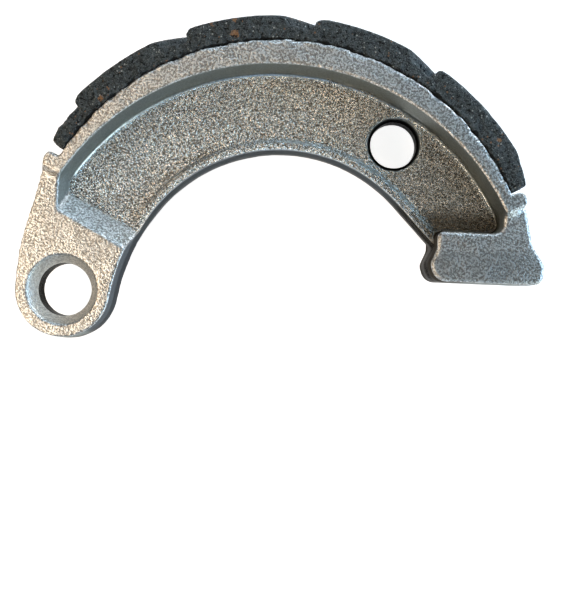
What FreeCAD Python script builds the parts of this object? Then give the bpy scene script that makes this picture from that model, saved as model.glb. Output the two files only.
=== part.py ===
import FreeCAD, Part
import os
from math import cos, degrees, pi, radians, sin, tan

# A drum brake shoe: one aluminium die casting with a friction lining bonded to its rim.
# The shoe lies flat. X runs from the pivot to the cam pad along the brake's centre line,
# Y runs outwards to the lining and Z along the drum's axis. The origin is on the pivot's
# axis, in the lap face, which is the middle of the shoe's width.
# Millimetres and degrees. Angles turn about the drum's centre, from +X.

V = FreeCAD.Vector
UP = V(0, 0, 1)
DOWN = V(0, 0, -1)

# Brake
drum_diameter = 90.0
shoe_width = 18.0
pivot_to_drum_centre = 33.9

# Lining
lining_thickness = 4.0
lining_from = 26.4
lining_to = 147.2
cam_end_bevel_angle = 7.0
cam_end_bevel_depth = 1.2
pivot_end_bevel_angle = 9.5
pivot_end_bevel_depth = 1.7
groove_count = 4
groove_pitch = 27.1
groove_middle = 88.9
groove_slant = 45.0
groove_width = 3.1
groove_floor_thickness = 1.25
groove_mouth_bevel = 0.6

# Rim, thickest at its middle and thinner to both ends
rim_thickness = 3.8
rim_middle = 85.5
rim_from = 22.6
rim_to = 152.2
rim_draft = 5.0
rim_root_fillet = 1.5
rim_end_slope = 45.0
rim_lap_end_slope = 70.0

# Web, with a bead along its inner edge
web_thickness = 6.0
web_edge_radius = 25.6
web_edge_shift_x = 0.55
web_edge_shift_y = -1.7
web_edge_straight_from = 44.0
web_edge_draft = 3.0
bead_height = 1.0
bead_width = 1.1
bead_slope_width = 1.2

# Pivot eye, half the shoe's width, and the arm that carries it
eye_radius = 8.0
eye_height = 8.0
eye_draft = 3.0
pivot_bore = 8.5
countersink_diameter = 11.3
countersink_depth = 2.7
arm_bulge = 0.4
arm_shoulder = 1.1
arm_shoulder_turn = 2.5
arm_shoulder_radius = 4.0
arm_shoulder_angle = 9.0
arm_flank_from = 155.0
arm_flank_step = 0.35
eye_flank_angle = -6.0
pocket_end_x = -35.2
pocket_end_draft = 15.0

# Ramps from the arm to the web, on the outer face and on the lap side
front_ramp_x = -30.5
front_ramp_y = 10.2
front_ramp_turn = -27.5
front_ramp_slope = 50.0
back_ramp_x = -34.8
back_ramp_y = 12.3
back_ramp_turn = -18.0
back_ramp_slope = 42.0
ramp_foot_radius = 2.5

# Cam pad: a flat for the cam, a toe at its outer end, a heel at its inner end with a
# notch above it, and a neck up to the rim's end
pad_face_step = 1.0
cam_face_y = 3.8
pad_from_x = 24.25
pad_to_x = 42.85
pad_top_y = 12.0
pad_draft = 1.5
pad_edge_fillet = 0.4
pad_outer_radius = 1.7
pad_inner_radius = 2.6
pad_top_radius = 1.4
toe_height = 3.4
toe_radius = 1.2
heel_height = 2.8
heel_lean = 0.9
heel_radius = 1.5
notch_height = 5.4
notch_depth = 1.1
notch_radius = 1.0
neck_outer_x = 40.0
neck_width = 4.3
neck_flare = 0.9
neck_flare_height = 6.4
neck_outer_radius = 3.0
neck_inner_radius = 1.3
neck_stop_turn = 1.5

# End stops, standing up from the rim at both ends of the lining
stop_height = 2.0
stop_width = 2.4
stop_corner = 0.8

# Spring hole and ejector bosses
spring_hole = 7.6
spring_hole_radius = 31.75
spring_hole_angle = 54.65
spring_hole_round = 0.35
boss_radius = 2.6
boss_circle_radius = 37.5
boss_angles = (36.5, 131.8)

# Worked out from the above
half_width = shoe_width / 2
half_web = web_thickness / 2
bond_radius = drum_diameter / 2 - lining_thickness
pad_half = half_width - pad_face_step
DRUM = V(pivot_to_drum_centre, 0, 0)
RIM_BORE = DRUM - V(cos(radians(rim_middle)), sin(radians(rim_middle)), 0) * rim_thickness
WEB_EDGE = DRUM + V(web_edge_shift_x, web_edge_shift_y, 0)
clear = 5.0
overlap = 1.0
hair = 1e-4


def polar(centre, radius, angle, z=0.0):
    """The point at a radius and angle about a centre."""
    a = radians(angle)
    return V(centre.x + radius * cos(a), centre.y + radius * sin(a), z)


def spot(x, y, z=0.0):
    """A point given from the drum's centre."""
    return DRUM + V(x, y, z)


def rounded_wire(corners):
    """A closed wire through corners (point, radius), each corner an arc of its radius."""
    count = len(corners)
    ends = []
    arcs = []
    for i, (point, radius) in enumerate(corners):
        before = corners[i - 1][0] - point
        after = corners[(i + 1) % count][0] - point
        before.normalize()
        after.normalize()
        half = before.getAngle(after) / 2
        if radius <= 0 or half > pi / 2 - 0.01:
            ends.append((point, point))
            arcs.append(None)
            continue
        reach = radius / tan(half)
        start = point + before * reach
        end = point + after * reach
        inward = before + after
        inward.normalize()
        middle = point + inward * (radius / sin(half) - radius)
        ends.append((start, end))
        arcs.append(Part.Arc(start, middle, end).toShape())
    edges = []
    for i in range(count):
        if arcs[i]:
            edges.append(arcs[i])
        start = ends[i][1]
        end = ends[(i + 1) % count][0]
        if start.distanceToPoint(end) > hair:
            edges.append(Part.LineSegment(start, end).toShape())
    return Part.Wire(edges)


def prism(wire, low, high):
    """The solid between two heights on a flat closed wire at z = 0."""
    face = Part.Face(wire)
    face.translate(V(0, 0, low))
    return face.extrude(V(0, 0, high - low))


def tapered(wire, low, high, draft):
    """As a prism, but drafted: it changes by the draft from its size at z = 0."""
    rings = []
    for z in (low, high):
        ring = wire.makeOffset2D(-abs(z) * tan(radians(draft)), 2) if z else wire.copy()
        ring.translate(V(0, 0, z))
        rings.append(ring)
    return Part.makeLoft(rings, True, True)


def ramp_region(x, y, turn, top, foot, slope, above):
    """The space above a ramp and past it, or below the ramp and before it.

    The ramp starts at height top on a line through (x, y), turned from +X. It runs down,
    away from the pivot, to height foot, which it meets in an arc.
    """
    a = radians(slope)
    run = (top - foot) / tan(a)
    back = ramp_foot_radius * tan(a / 2)
    head = V(0, 0, top)
    before = V(run - back * cos(a), 0, foot + back * sin(a))
    after = V(run + back, 0, foot)
    centre = V(after.x, 0, foot + ramp_foot_radius)
    middle = centre - V(sin(a / 2), 0, cos(a / 2)) * ramp_foot_radius
    reach = V(2 * drum_diameter, 0, 0)
    if above:
        high = V(0, 0, shoe_width)
        corners = [after + reach, after + reach + high, V(head.x, 0, (after + high).z)]
    else:
        low = V(0, 0, -shoe_width)
        corners = [V(after.x, 0, low.z), low - reach, head - reach]
    edges = [
        Part.LineSegment(head, before).toShape(),
        Part.Arc(before, middle, after).toShape(),
    ]
    path = [after] + corners + [head]
    for start, end in zip(path, path[1:]):
        edges.append(Part.LineSegment(start, end).toShape())
    region = Part.Face(Part.Wire(edges)).extrude(V(0, 4 * drum_diameter, 0))
    region.translate(V(0, -2 * drum_diameter, 0))
    region.rotate(V(0, 0, 0), UP, 90 + turn)
    region.translate(spot(x, y))
    return region


def rim_bore_cone(direction):
    """The pocket inside the rim on one face, drafted, with a fillet at the web."""
    depth = half_width - half_web
    spread = tan(radians(rim_draft))
    floor_radius = bond_radius - depth * spread
    top_radius = bond_radius + clear * spread
    base = RIM_BORE + direction * half_web
    cone = Part.makeCone(floor_radius, top_radius, depth + clear, base, direction)
    return cone.makeFillet(rim_root_fillet, [e for e in cone.Edges if flat_at(e, base.z)])


def front_pocket():
    """The hollow of the outer face, from the arm's ramp to the pad's neck."""
    pocket = rim_bore_cone(UP)
    pocket = pocket.common(ramp_region(front_ramp_x, front_ramp_y, front_ramp_turn,
                                       eye_height, half_web, front_ramp_slope, True))
    limit = Part.makeBox(drum_diameter, drum_diameter, 4 * shoe_width,
                         V(0, 0, -2 * shoe_width))
    limit.rotate(V(0, 0, 0), V(0, 1, 0), -pocket_end_draft)
    limit.translate(spot(pocket_end_x, 0, eye_height))
    return pocket.common(limit)


def hub_space():
    """The space inside the web's edge: the eye's side, the arm's flank, the round edge
    of the web and its straight stretch at the cam's end."""
    eye_side = polar(V(0, 0, 0), eye_radius, eye_flank_angle)
    down = polar(V(0, 0, 0), 1, eye_flank_angle - 90)
    low = eye_side + down * drum_diameter
    corner = polar(WEB_EDGE, web_edge_radius, arm_flank_from)
    flank_angle = (arm_flank_from + 180) / 2
    flank = polar(WEB_EDGE, web_edge_radius + arm_flank_step, flank_angle)
    middle = polar(WEB_EDGE, web_edge_radius, (arm_flank_from + web_edge_straight_from) / 2)
    turn = polar(WEB_EDGE, web_edge_radius, web_edge_straight_from)
    far = turn + polar(V(0, 0, 0), drum_diameter, web_edge_straight_from - 90)
    wire = Part.Wire([
        Part.LineSegment(low, eye_side).toShape(),
        Part.Arc(eye_side, flank, corner).toShape(),
        Part.Arc(corner, middle, turn).toShape(),
        Part.LineSegment(turn, far).toShape(),
        Part.LineSegment(far, low).toShape(),
    ])
    halves = [tapered(wire, 0, z, -web_edge_draft) for z in (-shoe_width, shoe_width)]
    return halves[0].fuse(halves[1])


def sector(radius, start, end, low, high):
    """A slice of a disc about the drum's centre."""
    disc = Part.makeCylinder(radius, high - low, V(0, 0, low), UP, end - start)
    disc.rotate(V(0, 0, 0), UP, start)
    disc.translate(DRUM)
    return disc


def rim_end_cut(angle, side, face, slope):
    """What lies beyond a rim end on one face: the end slopes away down to the shoe."""
    reach = drum_diameter
    fall = reach * tan(radians(slope))
    edge = V(0, 0, face * half_width)
    points = [edge, edge + V(0, side * reach, -face * fall), edge + V(0, side * reach, 0),
              edge + V(0, side * reach, face * clear), edge + V(0, 0, face * clear)]
    cut = Part.Face(Part.makePolygon(points + [edge])).extrude(V(reach, 0, 0))
    cut.rotate(V(0, 0, 0), UP, angle)
    cut.translate(DRUM)
    return cut


def rim_and_web():
    """The rim with its web, before the pockets and the inner edge are made."""
    cam_run = degrees(pad_face_step / tan(radians(rim_end_slope)) / bond_radius)
    lap_run = degrees(half_width / tan(radians(rim_lap_end_slope)) / bond_radius)
    rim = sector(bond_radius, rim_from - 2 * cam_run, rim_to + lap_run,
                 -half_width, half_width)
    rim = rim.cut([
        rim_end_cut(rim_from, -1, 1, rim_end_slope),
        rim_end_cut(rim_from, -1, -1, rim_end_slope),
        rim_end_cut(rim_to, 1, 1, rim_end_slope),
        rim_end_cut(rim_to, 1, -1, rim_lap_end_slope),
    ])
    web = sector(bond_radius, 0, 180, -half_web, half_web)
    return rim.fuse(web.common(above_pad_middle()))


def above_pad_middle():
    """The half space that starts inside the cam pad."""
    low = (cam_face_y + pad_top_y) / 2
    return Part.makeBox(drum_diameter * 2, drum_diameter, shoe_width,
                        spot(-drum_diameter, low, -half_width))


def bead(direction):
    """The raised bead that follows the web's inner edge on one face."""
    foot = bead_width + bead_slope_width
    base = WEB_EDGE + direction * half_web
    ring = Part.makeCone(web_edge_radius + foot, web_edge_radius + bead_width,
                         bead_height, base, direction)
    level = direction.z * half_web
    top = level + direction.z * bead_height
    points = [V(0, -clear, level), V(0, foot, level), V(0, bead_width, top),
              V(0, -clear, top), V(0, -clear, level)]
    bar = Part.Face(Part.makePolygon(points)).extrude(V(drum_diameter, 0, 0))
    bar.rotate(V(0, 0, 0), UP, web_edge_straight_from - 90)
    bar.translate(polar(WEB_EDGE, web_edge_radius, web_edge_straight_from))
    inside = sector(bond_radius - rim_thickness, 0, 180, -half_width, half_width)
    whole = ring.fuse(bar).common(above_pad_middle()).common(inside)
    return whole.cut(lap_relief(half_web + bead_height))


def arm():
    """The arm between the rim's end and the pivot, as thick as the eye."""
    arm_radius = bond_radius + arm_bulge
    body = sector(arm_radius, 90, 180 + arm_shoulder_angle, -half_web, eye_height)
    limit = rounded_wire([
        (spot(-drum_diameter, 0), 0),
        (V(0, 0, 0), 0),
        (polar(V(0, 0, 0), eye_radius, eye_flank_angle), 0),
        (spot(-eye_radius, eye_radius), 0),
        (polar(DRUM, drum_diameter, rim_to), 0),
    ])
    return body.common(prism(limit, -half_web, eye_height)).fuse(arm_shoulder_solid())


def arm_shoulder_solid():
    """The hollow curve from the pivot's stop down to the arm, with the rim end's slope."""
    foot = bond_radius - overlap
    wire = rounded_wire([
        (polar(DRUM, foot, rim_to - arm_shoulder_turn / 2), 0),
        (polar(DRUM, bond_radius + stop_height, rim_to - arm_shoulder_turn / 2), 0),
        (polar(DRUM, bond_radius + arm_shoulder, rim_to + arm_shoulder_turn),
         arm_shoulder_radius),
        (polar(DRUM, bond_radius + arm_bulge, rim_to + arm_shoulder_angle), 0),
        (polar(DRUM, foot, rim_to + arm_shoulder_angle), 0),
    ])
    top = prism(wire, eye_height, half_width)
    top = top.cut(rim_end_cut(rim_to, 1, 1, rim_end_slope))
    return prism(wire, -half_web, eye_height).fuse(top)


def eye():
    """The pivot eye, drafted towards its outer face."""
    return Part.makeCone(eye_radius, eye_radius - eye_height * tan(radians(eye_draft)),
                         eye_height, V(0, 0, 0), UP)


def lap_relief(depth):
    """The space for the other shoe's half eye, with a ramp that runs out at a depth."""
    space = ramp_region(back_ramp_x, back_ramp_y, back_ramp_turn,
                        0, -depth, back_ramp_slope, False)
    pivot_side = Part.makeBox(drum_diameter, 2 * drum_diameter, 2 * shoe_width,
                              DRUM - V(drum_diameter, drum_diameter, shoe_width))
    return space.common(pivot_side)


def pad():
    """The cam pad and its neck, one rounded outline; the cam's face is ground flat."""
    neck_inner_x = neck_outer_x - neck_width
    in_stop = bond_radius + stop_height - stop_corner / 2
    cast_face_y = cam_face_y - pad_half * tan(radians(pad_draft))
    wire = rounded_wire([
        (spot(pad_from_x + heel_lean, cast_face_y), pad_inner_radius),
        (spot(pad_to_x, cast_face_y), pad_outer_radius),
        (spot(pad_to_x, cam_face_y + toe_height), toe_radius),
        (spot(neck_outer_x + neck_flare, cam_face_y + neck_flare_height), neck_outer_radius),
        (polar(DRUM, in_stop, rim_from - neck_stop_turn), neck_outer_radius),
        (polar(DRUM, in_stop, rim_from + neck_stop_turn), 0),
        (spot(neck_inner_x, pad_top_y + neck_width), 0),
        (spot(neck_inner_x, pad_top_y), neck_inner_radius),
        (spot(pad_from_x + heel_lean, pad_top_y), pad_top_radius),
        (spot(pad_from_x + notch_depth, cam_face_y + notch_height), notch_radius),
        (spot(pad_from_x, cam_face_y + heel_height), heel_radius),
    ])
    halves = [tapered(wire, 0, z, pad_draft) for z in (-pad_half, pad_half)]
    whole = halves[0].fuse(halves[1]).removeSplitter()
    rims = [e for e in whole.Edges if flat_at(e, pad_half) or flat_at(e, -pad_half)]
    ground = Part.makeBox(2 * drum_diameter, drum_diameter, 2 * shoe_width,
                          spot(0, cam_face_y - drum_diameter, -shoe_width))
    return whole.makeFillet(pad_edge_fillet, rims).cut(ground)


def flat_at(edge, height):
    """Whether an edge lies flat at a height."""
    box = edge.BoundBox
    return abs(box.ZMin - height) < hair and abs(box.ZMax - height) < hair


def stop(angle, side):
    """An end stop across the rim; side is +1 where the lining lies at larger angles."""
    outer = bond_radius + stop_height
    wide = degrees(stop_width / outer)
    wire = rounded_wire([
        (polar(DRUM, bond_radius - overlap, angle), 0),
        (polar(DRUM, outer, angle), stop_corner),
        (polar(DRUM, outer, angle + side * wide), stop_corner),
        (polar(DRUM, bond_radius - overlap, angle + side * wide), 0),
    ])
    return prism(wire, -half_width, half_width)


def boss(angle):
    """An ejector boss on the back face, merging with the rim inside the bond face."""
    depth = half_width - half_web
    foot = boss_radius + depth * tan(radians(rim_draft))
    centre = polar(DRUM, boss_circle_radius, angle, -half_width)
    cone = Part.makeCone(boss_radius, foot, depth, centre, UP)
    return cone.common(sector(bond_radius, 0, 180, -half_width, -half_web))


def pivot_hole():
    """The pivot bore, with the deep countersink of the outer face."""
    bore = Part.makeCylinder(pivot_bore / 2, eye_height + 2 * clear, V(0, 0, -clear), UP)
    sink = Part.makeCone(pivot_bore / 2, countersink_diameter / 2, countersink_depth,
                         V(0, 0, eye_height - countersink_depth), UP)
    return bore.fuse(sink)


def spring_hole_tool():
    """The return spring's hole through the web, with rounded edges on both faces."""
    radius = spring_hole / 2
    wide = radius + spring_hole_round
    soft = spring_hole_round * (1 - cos(radians(45)))
    deep = half_web - spring_hole_round
    edges = []
    profile = [V(0, 0, -half_web), V(wide, 0, -half_web), V(radius, 0, -deep),
               V(radius, 0, deep), V(wide, 0, half_web), V(0, 0, half_web)]
    for start, end in zip(profile, profile[1:] + profile[:1]):
        if start.x == end.x or start.z == end.z:
            edges.append(Part.LineSegment(start, end).toShape())
        else:
            middle = V(radius + soft, 0, (half_web - soft) * (1 if start.z + end.z > 0 else -1))
            edges.append(Part.Arc(start, middle, end).toShape())
    tool = Part.Face(Part.Wire(edges)).revolve(V(0, 0, 0), UP, 360)
    tool.translate(polar(DRUM, spring_hole_radius, spring_hole_angle))
    return tool


def cast_shoe():
    """The whole die casting."""
    body = rim_and_web().fuse([arm()])
    body = body.cut([rim_bore_cone(DOWN), front_pocket(), lap_relief(half_web)])
    body = body.fuse([bead(UP), bead(DOWN)] + [boss(angle) for angle in boss_angles])
    body = body.cut(hub_space())
    body = body.fuse([eye(), pad(), stop(rim_from, 1), stop(rim_to, -1)])
    body = body.cut([pivot_hole(), spring_hole_tool()])
    return body.removeSplitter()


def lining_bevel(angle, turn, depth):
    """What a beveled end takes off the lining, from its end face up to its outer face."""
    outer = drum_diameter / 2
    low = polar(DRUM, outer - depth, angle)
    high = polar(DRUM, outer, angle + turn)
    along = high - low
    along.normalize()
    wire = rounded_wire([
        (low - along * clear, 0),
        (high + along * overlap, 0),
        (polar(DRUM, drum_diameter, angle + turn / 2), 0),
    ])
    return prism(wire, -half_width, half_width)


def friction_lining():
    """The lining: an arc of even thickness, beveled ends, slanted grooves."""
    strip = sector(drum_diameter / 2, lining_from, lining_to, -half_width, half_width)
    inside = Part.makeCylinder(bond_radius, shoe_width, DRUM - UP * half_width, UP)
    grooves = [groove_middle + (i - (groove_count - 1) / 2) * groove_pitch
               for i in range(groove_count)]
    lining = strip.cut([inside] + [groove(angle) for angle in grooves])
    mouths = [e for e in lining.Edges if any(at_mouth(e, angle) for angle in grooves)]
    step = lining_thickness - groove_floor_thickness
    lining = lining.makeChamfer(min(groove_mouth_bevel, step / 2), mouths)
    return lining.cut([
        lining_bevel(lining_from, cam_end_bevel_angle, cam_end_bevel_depth),
        lining_bevel(lining_to, -pivot_end_bevel_angle, pivot_end_bevel_depth),
    ])


def groove_place(angle):
    """A groove's own axes on its floor: along it, across it and outwards."""
    a = radians(angle)
    s = radians(groove_slant)
    out = V(cos(a), sin(a), 0)
    round_way = V(-sin(a), cos(a), 0)
    along = UP * cos(s) + round_way * sin(s)
    turn = FreeCAD.Rotation(along, out.cross(along), out, "ZXY")
    return FreeCAD.Placement(DRUM + out * (bond_radius + groove_floor_thickness), turn)


def groove(angle):
    """A straight slot across the lining, slanted; its floor is flat."""
    length = 3 * shoe_width
    slot = Part.makeBox(length, groove_width, drum_diameter,
                        V(-length / 2, -groove_width / 2, 0))
    slot.Placement = groove_place(angle) * slot.Placement
    return slot


def at_mouth(edge, angle):
    """Whether an edge runs along a side of a groove in the lining's outer surface."""
    to_groove = groove_place(angle).inverse()
    ends = [to_groove.multVec(vertex.Point) for vertex in edge.Vertexes]
    beside = all(abs(abs(end.y) - groove_width / 2) < hair for end in ends)
    return beside and min(end.z for end in ends) > hair


def write(name, shape):
    shape.exportStep(os.path.join("parts", name + ".step"))


os.makedirs("parts", exist_ok=True)
write("cast_shoe", cast_shoe())
write("friction_lining", friction_lining())
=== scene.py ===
from math import atan2, cos, degrees, radians, sin

import bpy
from mathutils import Matrix, Vector

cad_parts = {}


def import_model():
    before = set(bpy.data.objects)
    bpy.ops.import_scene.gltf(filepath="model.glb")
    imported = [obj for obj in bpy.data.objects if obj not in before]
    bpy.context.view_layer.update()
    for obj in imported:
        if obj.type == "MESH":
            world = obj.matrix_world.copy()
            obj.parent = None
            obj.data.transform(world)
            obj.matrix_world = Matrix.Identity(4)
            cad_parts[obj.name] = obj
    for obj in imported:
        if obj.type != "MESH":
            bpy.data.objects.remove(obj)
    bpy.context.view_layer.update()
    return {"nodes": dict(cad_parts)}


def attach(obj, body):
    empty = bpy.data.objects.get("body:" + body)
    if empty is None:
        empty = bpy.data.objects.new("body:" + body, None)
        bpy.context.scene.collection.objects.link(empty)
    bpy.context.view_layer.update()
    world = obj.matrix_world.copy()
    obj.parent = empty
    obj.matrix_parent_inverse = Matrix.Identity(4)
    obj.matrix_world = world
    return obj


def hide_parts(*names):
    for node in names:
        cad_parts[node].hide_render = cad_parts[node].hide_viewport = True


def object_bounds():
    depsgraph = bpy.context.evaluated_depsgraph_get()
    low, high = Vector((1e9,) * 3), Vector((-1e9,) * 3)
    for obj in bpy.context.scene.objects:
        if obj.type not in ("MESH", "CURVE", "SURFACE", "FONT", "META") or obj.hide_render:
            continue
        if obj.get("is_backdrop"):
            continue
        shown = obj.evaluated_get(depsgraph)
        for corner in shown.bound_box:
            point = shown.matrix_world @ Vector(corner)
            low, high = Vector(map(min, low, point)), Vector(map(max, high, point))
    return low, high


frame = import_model()
MM = 0.001

# The photo: straight from above, the camera over the middle of the picture
PIXELS_WIDE = 561
PIXELS_PER_MM = 6.32
CAMERA_HEIGHT = 190.0
RIM_FACE = 9.0
TURN = radians(2.4)
DRUM = Vector((33.9, 0.0, 0.0))
VIEW_POINT = Vector((0.906, 0.524, 0.0))

# Places on the part
EYE = Vector((0.0, 0.0, 0.0))
SPRING_HOLE = Vector((52.27, 25.896, 0.0))
HOLE_RADIUS = 3.8
BOND_RADIUS = 41.0
LINING_ANGLES = (27.5, 146.0)
WEB_EDGE_REACH = 31.0

# The studio
FLOOR_SIZE = 60.0
FLOOR_GLOW = 0.78
LAMP_SIZE = 80.0
LAMP_DISTANCE = 200.0
LAMP_AIM = (0.0, 10.0)


def placed(x, y, z=0.0):
    """A point given in the picture's directions from its middle, in millimetres."""
    turned = Matrix.Rotation(TURN, 3, "Z") @ (VIEW_POINT + Vector((x, y, 0.0)))
    return (DRUM + turned + Vector((0.0, 0.0, z))) * MM


def select_only(obj):
    bpy.ops.object.select_all(action="DESELECT")
    obj.select_set(True)
    bpy.context.view_layer.objects.active = obj


def modifier(obj, kind, **values):
    """Adds a modifier, sets it and applies it."""
    select_only(obj)
    made = obj.modifiers.new(kind.lower(), kind)
    for key, value in values.items():
        setattr(made, key, value)
    bpy.ops.object.modifier_apply(modifier=made.name)


def soft_copy(node, name, voxel, rounds):
    """A closed copy of a CAD node on an even mesh, with its edges rounded."""
    obj = bpy.data.objects.new(name, frame["nodes"][node].data.copy())
    bpy.context.scene.collection.objects.link(obj)
    obj.data.materials.clear()
    select_only(obj)
    bpy.ops.object.mode_set(mode="EDIT")
    bpy.ops.mesh.select_all(action="SELECT")
    bpy.ops.mesh.remove_doubles(threshold=0.002 * MM)
    bpy.ops.mesh.normals_make_consistent(inside=False)
    bpy.ops.object.mode_set(mode="OBJECT")
    modifier(obj, "REMESH", mode="VOXEL", voxel_size=voxel * MM, use_smooth_shade=True)
    modifier(obj, "SMOOTH", factor=0.5, iterations=rounds)
    return obj


def soften(obj, name, share, rounds):
    """Smooths a part of the surface, by the share that each place has in it."""
    group = share_of(obj, name, share)
    modifier(obj, "SMOOTH", factor=0.5, iterations=rounds, vertex_group=group)


def uneven(obj, size, height, group=""):
    """Moves the surface in and out by a soft noise of a size and height."""
    pattern = bpy.data.textures.new(obj.name + "_waves", "CLOUDS")
    pattern.noise_scale = size * MM
    pattern.noise_depth = 2
    modifier(obj, "DISPLACE", texture=pattern, texture_coords="LOCAL",
             strength=height * MM, mid_level=0.5, vertex_group=group)
    bpy.data.textures.remove(pattern)


def share_of(obj, name, share):
    """Names the vertices for which a share of a place is above 0, with that share."""
    group = obj.vertex_groups.new(name=name)
    for vertex in obj.data.vertices:
        weight = share(vertex.co / MM)
        if weight > 0.0:
            group.add([vertex.index], min(weight, 1.0), "REPLACE")
    return group.name


def clipped(value):
    return min(max(value, 0.0), 1.0)


def reach(place, centre):
    return (place - centre).xy.length


def drum_angle(place):
    return degrees(atan2(place.y - DRUM.y, place.x - DRUM.x))


def at_bond(place):
    """The rim's outer face, where the lining is bonded."""
    on_lining = LINING_ANGLES[0] < drum_angle(place) < LINING_ANGLES[1]
    return float(on_lining and reach(place, DRUM) > BOND_RADIUS - 0.5)


def at_rim_root(place):
    """The foot of the rim's inner wall on the web, on both faces."""
    near_web = 2.6 < abs(place.z) < 6.4
    near_rim = 33.0 < reach(place, DRUM) < BOND_RADIUS - 0.5
    along = 21.0 < drum_angle(place) < 153.0
    return float(near_web and near_rim and along and reach(place, SPRING_HOLE) > 6.0)


def at_pivot_root(place):
    """The same foot towards the pivot, where it is fuller."""
    return at_rim_root(place) * clipped((drum_angle(place) - 100.0) / 40.0)


def at_inner_edge(place):
    """The casting's edges towards the hub, away from the cam pad."""
    return float(reach(place, DRUM) < 29.0 and place.x < 55.0)


def at_hole_edge(place):
    """The web's faces round the spring hole, falling off outwards."""
    away = reach(place, SPRING_HOLE) - HOLE_RADIUS
    share = max(0.0, 1.0 - max(away, 0.0) / 1.6) ** 2
    return share * float(away > -0.5 and abs(place.z) > 2.0)


def at_outer_face(place):
    """The outer part of the lining, with its ground face."""
    return float(reach(place, DRUM) > 42.6)


def below_outer_face(place):
    """The lining's moulded and cut faces; its ground outer face stays smooth."""
    return min(max((44.7 - reach(place, DRUM)) / 0.6, 0.12), 1.0)


# Materials

class Nodes:
    """A short way to write a node tree."""

    def __init__(self, name):
        self.material = bpy.data.materials.new(name)
        self.material.use_nodes = True
        self.tree = self.material.node_tree
        self.tree.nodes.clear()
        self.place = self.node("ShaderNodeTexCoord").outputs["Object"]

    def node(self, kind, **values):
        made = self.tree.nodes.new(kind)
        for key, value in values.items():
            setattr(made, key, value)
        return made

    def feed(self, socket, value):
        if isinstance(value, bpy.types.NodeSocket):
            self.tree.links.new(value, socket)
        else:
            socket.default_value = value

    def noise(self, size, detail, roughness, place=None, output="Fac"):
        made = self.node("ShaderNodeTexNoise")
        self.feed(made.inputs["Vector"], place or self.place)
        self.feed(made.inputs["Scale"], 1.0 / (size * MM))
        self.feed(made.inputs["Detail"], detail)
        self.feed(made.inputs["Roughness"], roughness)
        return made.outputs[output]

    def cells(self, size, output="Distance"):
        made = self.node("ShaderNodeTexVoronoi")
        self.feed(made.inputs["Vector"], self.place)
        self.feed(made.inputs["Scale"], 1.0 / (size * MM))
        return made.outputs[output]

    def math(self, operation, a, b=0.0):
        made = self.node("ShaderNodeMath", operation=operation)
        self.feed(made.inputs[0], a)
        self.feed(made.inputs[1], b)
        return made.outputs[0]

    def ramp(self, value, low, high, to_low=0.0, to_high=1.0):
        made = self.node("ShaderNodeMapRange", interpolation_type="SMOOTHSTEP")
        self.feed(made.inputs["Value"], value)
        self.feed(made.inputs["From Min"], low)
        self.feed(made.inputs["From Max"], high)
        self.feed(made.inputs["To Min"], to_low)
        self.feed(made.inputs["To Max"], to_high)
        return made.outputs["Result"]

    def mix(self, share, a, b):
        made = self.node("ShaderNodeMix", data_type="RGBA")
        self.feed(made.inputs[0], share)
        self.feed(made.inputs[6], a)
        self.feed(made.inputs[7], b)
        return made.outputs[2]

    def bump(self, height, depth, strength):
        made = self.node("ShaderNodeBump")
        self.feed(made.inputs["Strength"], strength)
        self.feed(made.inputs["Distance"], depth * MM)
        self.feed(made.inputs["Height"], height)
        return made.outputs["Normal"]

    def near(self, point, radius, place):
        """1 where a place is at a point, falling to 0 at a radius."""
        made = self.node("ShaderNodeVectorMath", operation="DISTANCE")
        self.feed(made.inputs[0], place)
        self.feed(made.inputs[1], point)
        return self.ramp(made.outputs["Value"], radius * MM, radius * 0.7 * MM)

    def shaken(self, size, reach):
        """The place on the part, moved about by a noise so that marks get ragged edges."""
        made = self.node("ShaderNodeVectorMath", operation="MULTIPLY_ADD")
        self.feed(made.inputs[0], self.noise(size, 2.0, 0.5, output="Color"))
        self.feed(made.inputs[1], (reach * MM,) * 3)
        shift = self.node("ShaderNodeVectorMath", operation="SUBTRACT")
        self.feed(shift.inputs[0], self.place)
        self.feed(shift.inputs[1], (reach / 2 * MM,) * 3)
        self.feed(made.inputs[2], shift.outputs["Vector"])
        return made.outputs["Vector"]

    def from_axis(self, centre=DRUM, place=None):
        """The distance from an axis through a centre, along the drum's."""
        made = self.node("ShaderNodeVectorMath", operation="MULTIPLY_ADD")
        self.feed(made.inputs[0], place or self.place)
        self.feed(made.inputs[1], (1, 1, 0))
        self.feed(made.inputs[2], -centre * MM)
        length = self.node("ShaderNodeVectorMath", operation="LENGTH")
        self.feed(length.inputs[0], made.outputs["Vector"])
        return length.outputs["Value"]

    def turned(self, angles):
        """The place on the part, turned so that a pattern doesn't line up with its faces."""
        made = self.node("ShaderNodeMapping")
        self.feed(made.inputs["Vector"], self.place)
        self.feed(made.inputs["Rotation"], angles)
        return made.outputs["Vector"]

    def part(self, vector, axis):
        """A vector's part along X, Y or Z."""
        split = self.node("ShaderNodeSeparateXYZ")
        self.feed(split.inputs[0], vector)
        return split.outputs[axis]

    def facing_up(self):
        """How far the surface faces along the drum's axis, from 0 to 1."""
        normal = self.node("ShaderNodeNewGeometry").outputs["Normal"]
        return self.math("ABSOLUTE", self.part(normal, "Z"))

    def height(self):
        """The distance from the middle of the shoe's width."""
        return self.math("ABSOLUTE", self.part(self.place, "Z"))

    def product(self, *values):
        """The product of values, such as shares of a zone or a share and a strength."""
        made = values[0]
        for value in values[1:]:
            made = self.math("MULTIPLY", made, value)
        return made

    def surface(self, **values):
        made = self.node("ShaderNodeBsdfPrincipled")
        for key, value in values.items():
            self.feed(made.inputs[key.replace("_", " ")], value)
        out = self.node("ShaderNodeOutputMaterial")
        self.feed(out.inputs["Surface"], made.outputs[0])
        return self.material


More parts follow.
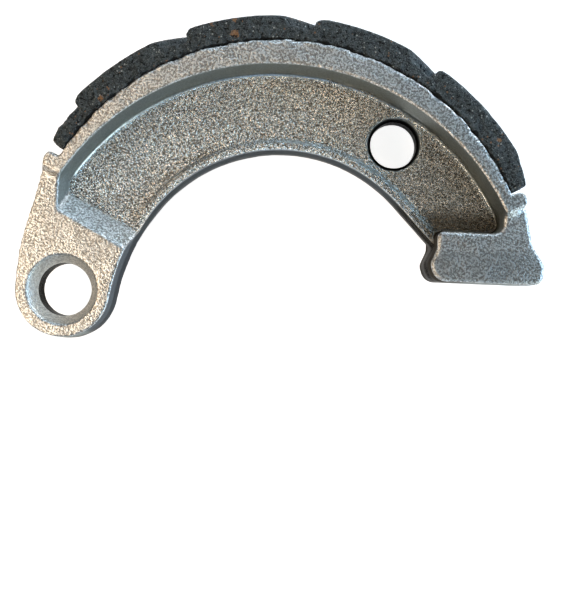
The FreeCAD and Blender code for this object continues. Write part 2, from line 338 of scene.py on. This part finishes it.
class CastNodes(Nodes):
    """The zones and the grain of the casting's surface, which its layers have in common.

    deep is below the rim's face and off the ramps by the eye, low is down on the web, and
    up is a face that looks along the drum's axis. Each is a share from 0 to 1. In the
    pocket a face must be flatter to count as up, so that painted shade in the walls'
    colour reaches into the fillets at their feet.
    """

    def __init__(self, name):
        super().__init__(name)
        self.x = self.part(self.place, "X")
        self.y = self.part(self.place, "Y")
        self.facing = self.facing_up()
        ramps = self.ramp(self.from_axis(EYE), 19.0 * MM, 17.5 * MM)
        pocket = self.ramp(self.height(), 7.6 * MM, 6.8 * MM)
        self.deep = self.math("SUBTRACT", pocket, self.product(pocket, ramps))
        self.low = self.ramp(self.height(), 4.6 * MM, 4.0 * MM)
        # Painted shade: in the pocket the thresholds rise, so the fillets take the darker wall
        # colour.
        steep = self.math("ADD", 0.25, self.product(self.deep, 0.40))
        flat = self.math("ADD", 0.58, self.product(self.deep, 0.33))
        self.up = self.ramp(self.facing, steep, flat)
        grain_place = self.turned((0.5, 0.7, 0.3))
        grain = self.noise(0.34, 1.0, 0.55, grain_place)
        fine = self.noise(0.17, 1.0, 0.5, grain_place)
        self.grain = self.math("ADD", grain, self.product(fine, 0.3))
        self.dimple = self.ramp(self.grain, self.by_zone(0.54, 0.50), self.by_zone(0.76, 0.70))
        self.patches = self.noise(6.0, 3.0, 0.55)

    def by_zone(self, elsewhere, on_web):
        """A value that differs between the web and the rest of the casting."""
        return self.ramp(self.low, 0.0, 1.0, elsewhere, on_web)


def cast_face(n):
    """The colour of the faces that look up: warm dimpled metal with painted micro-shade and
    glints in its grain, painted shade that is darker and cooler towards the cam pad, and the
    pad's own mottled, duller tone.
    """
    # The dimpled grain is the metal's own. Its dark hollows and bright peaks are darker, warmer
    # and stronger on the web, and are partly painted micro-shade and painted glints of the
    # relief.
    hollow = n.mix(n.low, (0.38, 0.355, 0.325, 1), (0.30, 0.265, 0.22, 1))
    peak = n.mix(n.low, (1.0, 1.0, 0.99, 1), (1.0, 0.95, 0.87, 1))
    face = n.mix(n.dimple, hollow, peak)
    face = n.mix(n.ramp(n.patches, 0.35, 0.7, 0.0, 0.25), face, (0.50, 0.49, 0.48, 1))
    # Painted shade: the faces, most of all on the web, get darker and cooler towards the cam pad
    # end, as the light falls off across the part.
    painted_falloff_shade = n.product(n.ramp(n.x, 42.0 * MM, 60.0 * MM), n.by_zone(0.08, 0.42))
    # The cam pad's own mottled, duller ground face.
    on_pad = n.product(n.ramp(n.x, 50.0 * MM, 55.0 * MM), n.ramp(n.y, 10.0 * MM, 8.0 * MM))
    pad_mottle = n.product(on_pad, n.ramp(n.patches, 0.3, 0.7, 0.10, 0.36))
    return n.mix(n.math("MAXIMUM", painted_falloff_shade, pad_mottle), face, (0.14, 0.175, 0.20, 1))


def cast_wall(n):
    """The colour of the walls: a plain darker cast skin whose darkness is partly painted shade,
    with more painted shade where they lean and on the walls round the hub, browner by the cam
    pad.
    """
    wall = n.mix(n.dimple, (0.41, 0.44, 0.43, 1), (0.50, 0.54, 0.53, 1))
    # Painted shade: leaning walls and the fillets at their feet are darker.
    wall = n.mix(n.ramp(n.facing, 0.30, 0.60), wall, (0.32, 0.345, 0.345, 1))
    # Painted shade on the walls towards the hub, darker and browner by the cam pad.
    by_pad = n.ramp(n.x, 50.0 * MM, 57.0 * MM)
    hub_side_shade = n.mix(by_pad, (0.24, 0.26, 0.28, 1), (0.11, 0.10, 0.085, 1))
    inner = n.ramp(n.from_axis(), WEB_EDGE_REACH * MM, (WEB_EDGE_REACH - 1) * MM)
    return n.mix(inner, wall, hub_side_shade)


def with_painted_rim_foot_highlight(n, colour):
    """A painted highlight: a bright line in the hollow between the rim's wall and the web."""
    hollow = n.product(n.ramp(n.facing, 0.52, 0.70), n.ramp(n.facing, 0.98, 0.88))
    rim_side = n.ramp(n.from_axis(), 31.5 * MM, 33.5 * MM)
    lit_side = n.math("MAXIMUM", rim_side, n.ramp(n.x, 20.0 * MM, 36.0 * MM))
    broken = n.ramp(n.dimple, 0.0, 0.9, 0.35, 0.95)
    # Painted highlight, broken by the grain, on the side where light catches the fillet.
    return n.mix(n.product(hollow, broken, lit_side, n.deep), colour, (0.88, 0.93, 0.93, 1))


def with_eye_shade_and_highlight(n, colour):
    """Painted shade on the pivot's bore wall and painted light on its countersink."""
    # Painted shade: the bore's wall is dark.
    bore = n.product(n.ramp(n.from_axis(EYE), 4.6 * MM, 4.4 * MM), n.ramp(n.facing, 0.3, 0.1))
    colour = n.mix(bore, colour, (0.15, 0.15, 0.145, 1))
    # Painted light on the countersink: bright and cool on the left, warm on the right, darkened
    # in the grain's hollows.
    lit = n.mix(n.ramp(n.x, 3.0 * MM, -3.0 * MM), (0.95, 0.90, 0.82, 1), (0.97, 1.0, 0.98, 1))
    lit = n.mix(n.ramp(n.dimple, 0.0, 1.0, 0.30, 0.0), lit, (0.05, 0.05, 0.05, 1))
    cone = n.product(n.ramp(n.from_axis(EYE), 5.75 * MM, 5.45 * MM), n.ramp(n.facing, 0.2, 0.3))
    return n.mix(cone, colour, lit)


def with_hole_ring_shade(n, colour):
    """Painted shade: a dark ring on the spring hole's rounded edge."""
    ring = n.ramp(n.from_axis(SPRING_HOLE), 4.45 * MM, 3.95 * MM)
    return n.mix(ring, colour, (0.03, 0.03, 0.03, 1))


def with_pad_corner_shade(n, colour):
    """Painted shade: a dark brown patch on the web, in the corner under the cam pad's upper
    side.
    """
    ragged = n.shaken(2.0, 1.5)
    along = n.ramp(n.part(ragged, "X"), 55.0 * MM, 60.0 * MM)
    across = n.ramp(n.part(ragged, "Y"), 17.0 * MM, 13.6 * MM, 0.0, 0.85)
    # Painted shade with ragged edges, on the web's faces only.
    corner_shade = n.product(along, across, n.low, n.ramp(n.facing, 0.3, 0.6))
    return n.mix(corner_shade, colour, (0.115, 0.095, 0.068, 1))


def cast_metal():
    """Shot-blasted die casting: a fine dimpled grain on the faces, plain darker walls, and
    layers of painted highlight and painted shade.
    """
    n = CastNodes("shot_blasted_aluminium")
    colour = n.mix(n.up, cast_wall(n), cast_face(n))
    # Layers of painted light: the rim foot's highlight, the spring hole's dark ring, the eye's
    # shaded bore and lit countersink, and the shade in the pad corner.
    for layer in (with_painted_rim_foot_highlight, with_hole_ring_shade, with_eye_shade_and_highlight, with_pad_corner_shade):
        colour = layer(n, colour)
    relief = n.product(n.by_zone(0.27, 1.0), n.ramp(n.up, 0.0, 1.0, 0.08, 1.0))
    rough = n.ramp(n.patches, 0.3, 0.7, 0.41, 0.46)
    rough = n.math("ADD", rough, n.ramp(n.up, 0.0, 1.0, 0.06, 0.0))
    rough = n.math("SUBTRACT", rough, n.product(n.low, 0.20))
    return n.surface(Base_Color=colour, Metallic=1.0, Roughness=rough,
                     Specular_Tint=(0.14, 0.14, 0.14, 1), Normal=n.bump(n.grain, 0.50, relief))


FLECKS = (
    (0.36, 0.82, (0.38, 0.40, 0.39, 1)),
    (0.45, 0.85, (0.20, 0.11, 0.06, 1)),
)
COPPER_CHIPS = [
    (placed(-7.2, 41.4, 9.0), 0.75),
    (placed(-10.9, 42.8, 9.0), 0.36),
    (placed(-7.2, 43.5, 9.0), 0.40),
    (placed(-28.5, 31.1, 9.0), 0.50),
    (placed(-27.3, 32.8, 9.0), 0.25),
    (placed(34.7, 24.5, 9.0), 0.40),
]


def friction_compound():
    """Moulded dark compound with grit, pits, light specks and copper-coloured chips."""
    n = Nodes("friction_compound")
    lumps = n.noise(0.55, 4.0, 0.7)
    grit = n.noise(0.20, 2.0, 0.65)
    pits = n.ramp(n.noise(0.6, 3.0, 0.65), 0.43, 0.37)
    colour = n.mix(n.ramp(lumps, 0.40, 0.60), (0.011, 0.014, 0.015, 1), (0.060, 0.073, 0.076, 1))
    colour = n.mix(n.ramp(grit, 0.52, 0.68, 0.0, 0.9), colour, (0.18, 0.195, 0.195, 1))
    for size, bare_share, tint in FLECKS:
        chosen = n.ramp(n.cells(size, "Color"), bare_share, bare_share + 0.02)
        fleck = n.product(chosen, n.ramp(n.cells(size), 0.45, 0.30))
        colour = n.mix(fleck, colour, tint)
    ragged = n.shaken(0.35, 0.9)
    chip = 0.0
    for point, radius in COPPER_CHIPS:
        chip = n.math("MAXIMUM", chip, n.near(point, radius, ragged))
    chip = n.product(chip, n.ramp(grit, 0.30, 0.46))
    colour = n.mix(chip, colour, (0.29, 0.145, 0.065, 1))
    bond = n.ramp(n.from_axis(DRUM, n.shaken(1.4, 2.0)), 41.30 * MM, 41.05 * MM)
    dark = n.math("MAXIMUM", pits, bond)
    colour = n.mix(dark, colour, (0.004, 0.005, 0.005, 1))
    height = n.math("ADD", n.product(lumps, 1.6), n.product(grit, 0.8))
    height = n.math("SUBTRACT", height, dark)
    return n.surface(Base_Color=colour, Roughness=n.ramp(dark, 0.0, 1.0, 0.60, 0.95),
                     Specular_IOR_Level=0.42, Normal=n.bump(height, 0.24, 1.0))


# The object

casting = soft_copy("cast_shoe", "shoe_casting", voxel=0.32, rounds=2)
soften(casting, "rim_root", at_rim_root, 30)
soften(casting, "pivot_root", at_pivot_root, 60)
soften(casting, "inner_edge", at_inner_edge, 4)
modifier(casting, "DISPLACE", strength=-0.55 * MM, mid_level=0.0,
         vertex_group=share_of(casting, "hole_edge", at_hole_edge))
uneven(casting, size=3.0, height=0.12)
bond_edge = share_of(casting, "bond_edge", at_bond)
uneven(casting, size=2.4, height=0.50, group=bond_edge)
uneven(casting, size=0.9, height=0.30, group=bond_edge)
casting.data.materials.append(cast_metal())
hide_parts("cast_shoe")
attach(casting, "root")

lining = soft_copy("friction_lining", "bonded_lining", voxel=0.30, rounds=3)
soften(lining, "outer_face", at_outer_face, 18)
moulded = share_of(lining, "moulded_faces", below_outer_face)
uneven(lining, size=1.6, height=0.35, group=moulded)
uneven(lining, size=0.7, height=0.34, group=moulded)
lining.data.materials.append(friction_compound())
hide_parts("friction_lining")
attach(lining, "root")


# Floor, light and camera

def floor():
    """A plain white floor that keeps the shadow and looks white to the camera."""
    bpy.ops.object.select_all(action="DESELECT")
    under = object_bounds()[0][2]
    bpy.ops.mesh.primitive_plane_add(size=FLOOR_SIZE, location=(DRUM.x * MM, 0, under))
    obj = bpy.context.active_object
    obj.name = "floor"
    n = Nodes("white_floor")
    path = n.node("ShaderNodeLightPath")
    seen = n.math("MAXIMUM", path.outputs["Is Camera Ray"], path.outputs["Is Glossy Ray"])
    seen = n.math("MAXIMUM", seen, path.outputs["Is Transmission Ray"])
    plain = n.node("ShaderNodeBsdfDiffuse")
    n.feed(plain.inputs["Color"], (0.8, 0.8, 0.8, 1))
    glow = n.node("ShaderNodeEmission")
    n.feed(glow.inputs["Color"], (1, 1, 1, 1))
    n.feed(glow.inputs["Strength"], n.product(seen, FLOOR_GLOW))
    both = n.node("ShaderNodeAddShader")
    n.feed(both.inputs[0], plain.outputs[0])
    n.feed(both.inputs[1], glow.outputs[0])
    out = n.node("ShaderNodeOutputMaterial")
    n.feed(out.inputs["Surface"], both.outputs[0])
    obj.data.materials.append(n.material)
    obj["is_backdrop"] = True


def lamp(name, azimuth, elevation, power, colour):
    """A soft square lamp, turned to the middle of the object, in the picture's directions."""
    a = radians(azimuth)
    e = radians(elevation)
    x, y = LAMP_AIM
    middle = placed(x, y, RIM_FACE)
    away = placed(x + cos(a) * cos(e), y + sin(a) * cos(e), RIM_FACE + sin(e)) - middle
    data = bpy.data.lights.new(name, "AREA")
    data.size = LAMP_SIZE * MM
    data.energy = power
    data.color = colour
    obj = bpy.data.objects.new(name, data)
    bpy.context.scene.collection.objects.link(obj)
    obj.location = middle + away * LAMP_DISTANCE
    obj.rotation_euler = away.to_track_quat("Z", "Y").to_euler()


def world(colour, strength):
    """The even light of the room."""
    made = bpy.data.worlds.new("soft_room")
    made.use_nodes = True
    back = made.node_tree.nodes["Background"]
    back.inputs["Color"].default_value = colour
    back.inputs["Strength"].default_value = strength
    bpy.context.scene.world = made


def camera():
    """The photo's camera, looking straight down."""
    data = bpy.data.cameras.new("camera")
    data.sensor_fit = "HORIZONTAL"
    data.sensor_width = 36.0
    data.lens = data.sensor_width * CAMERA_HEIGHT * PIXELS_PER_MM / PIXELS_WIDE
    data.clip_start = 0.01
    obj = bpy.data.objects.new("camera", data)
    bpy.context.scene.collection.objects.link(obj)
    obj.location = placed(0, 0, RIM_FACE + CAMERA_HEIGHT)
    obj.rotation_euler = (0, 0, TURN)
    bpy.context.scene.camera = obj


floor()
world((0.92, 0.96, 1.0, 1), 0.01)
lamp("warm_high", 190, 55, 0.122, (1.0, 0.84, 0.65))
lamp("plain_high", 230, 55, 0.036, (0.9, 0.96, 1.0))
lamp("warm_left", 180, 35, 0.068, (1.0, 0.74, 0.48))
lamp("warm_side", 225, 35, 0.032, (1.0, 0.78, 0.5))
lamp("warm_back", 135, 35, 0.012, (1.0, 0.76, 0.5))
lamp("cool_back", 90, 35, 0.068, (0.64, 0.83, 1.0))
lamp("low_back", 90, 10, 0.034, (0.6, 0.8, 1.0))
lamp("cool_sky", 45, 35, 0.020, (0.3, 0.7, 1.0))
lamp("window", 45, 10, 0.190, (0.82, 0.92, 1.0))
lamp("cool_right", 0, 10, 0.175, (0.42, 0.7, 1.0))
lamp("cool_side", 0, 35, 0.022, (0.66, 0.86, 1.0))
lamp("cool_low", 325, 25, 0.042, (0.78, 0.95, 1.0))
lamp("plain_low", 315, 10, 0.060, (0.76, 0.95, 1.0))
lamp("cool_front", 270, 10, 0.018, (0.3, 0.6, 1.0))
camera()
bpy.context.scene.view_settings.view_transform = "Standard"
